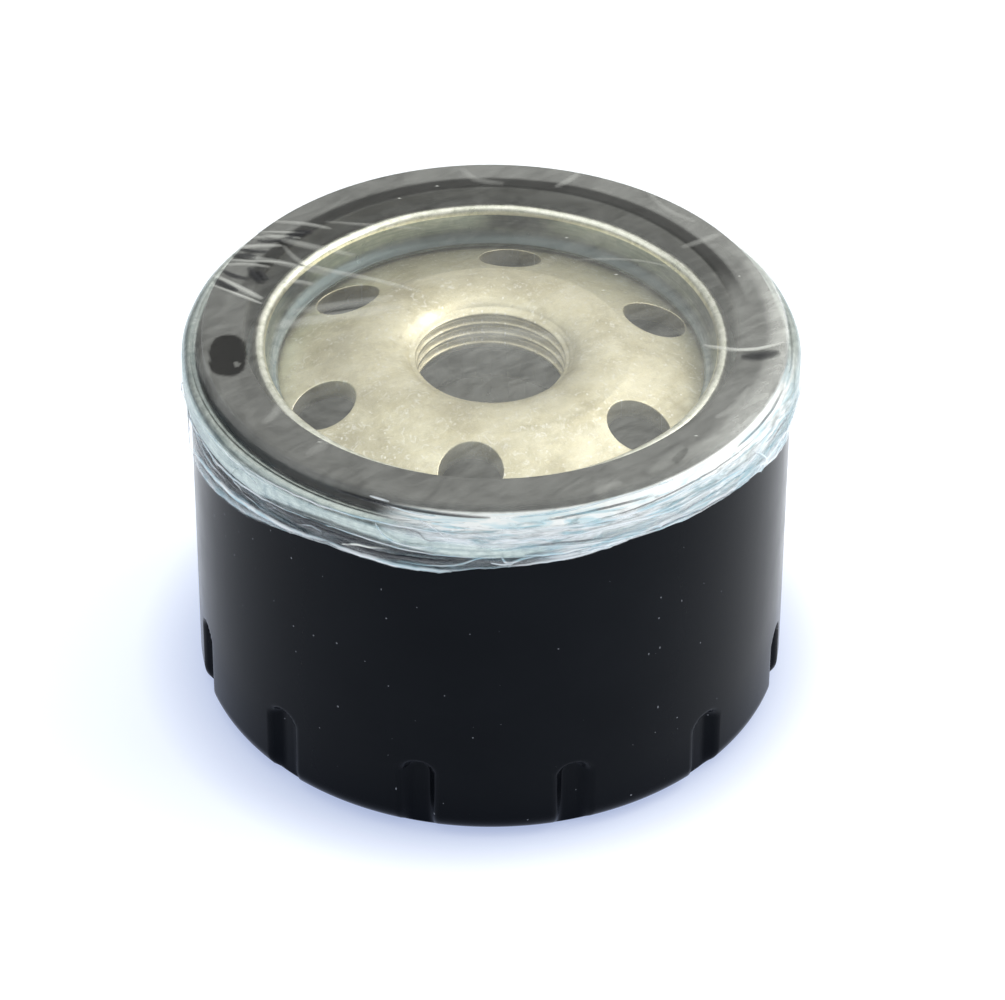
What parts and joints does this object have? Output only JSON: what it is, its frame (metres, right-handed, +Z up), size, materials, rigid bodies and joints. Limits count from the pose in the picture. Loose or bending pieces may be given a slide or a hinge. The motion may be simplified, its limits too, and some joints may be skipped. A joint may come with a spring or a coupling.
{
  "type": "spin-on oil filter",
  "caption": "Short spin-on engine oil filter standing on its closed end: fluted black can, domed threaded plate with inlet holes, rubber gasket and a lift-off clear shrink film.",
  "frame": {"origin": "centre of the closed end, on the surface the filter stands on", "axes": "+Z up the filter's axis, out of the threaded end; +X to the right and -Y towards the viewer of the picture"},
  "size_m": [0.0778, 0.0778, 0.0514],
  "materials": {
    "can_paint": "satin black paint",
    "zinc_lid": "clear zinc plate",
    "plate_zinc": "pale yellow zinc plate",
    "gasket_rubber": "matt, dry",
    "sealing_compound": "cured compound",
    "clear_film": "clear shrink film",
    "valve_rubber": "moulded, matt",
    "tinned_steel": "tinplate",
    "potting": "cured plastisol",
    "filter_paper": "resin-treated filter paper",
    "spring_steel": "drawn wire and strip",
    "nylon": "moulded nylon"
  },
  "bodies": {
    "filter": {"can": "can_paint", "seaming_lid": "zinc_lid", "base_plate": "plate_zinc", "sealing_gasket": "gasket_rubber", "seam_sealant": "sealing_compound", "top_end_cap": "tinned_steel", "top_potting": "potting", "pleated_media": "filter_paper", "media_seam_clip": "spring_steel", "centre_tube": "tinned_steel", "bottom_potting": "potting", "bottom_end_cap": "tinned_steel", "bypass_seat": "tinned_steel", "bypass_cage": "spring_steel", "bypass_spring": "spring_steel", "support_spring": "spring_steel"},
    "bypass_valve": {"bypass_poppet": "nylon", "bypass_seal": "valve_rubber"},
    "drainback_flap": {"anti_drainback_valve": "valve_rubber"},
    "film_cap": {"protective_film": "clear_film"}
  },
  "joints": [
    {"name": "bypass_open", "type": "slide", "parent": "filter", "child": "bypass_valve", "axis": [0, 0, 1], "range_m": [0, 0.003], "stiffness_N_per_m": 1000, "springref_m": -0.0078, "deforming": ["bypass_spring"]},
    {"name": "drainback_open", "type": "slide", "parent": "filter", "child": "drainback_flap", "axis": [0, 0, -1], "range_m": [0, 0.0012], "stiffness_N_per_m": 400, "springref_m": -0.004},
    {"name": "film_lift_off", "type": "slide", "parent": "filter", "child": "film_cap", "axis": [0, 0, 1], "range_m": [0, 0.06]}
  ]
}
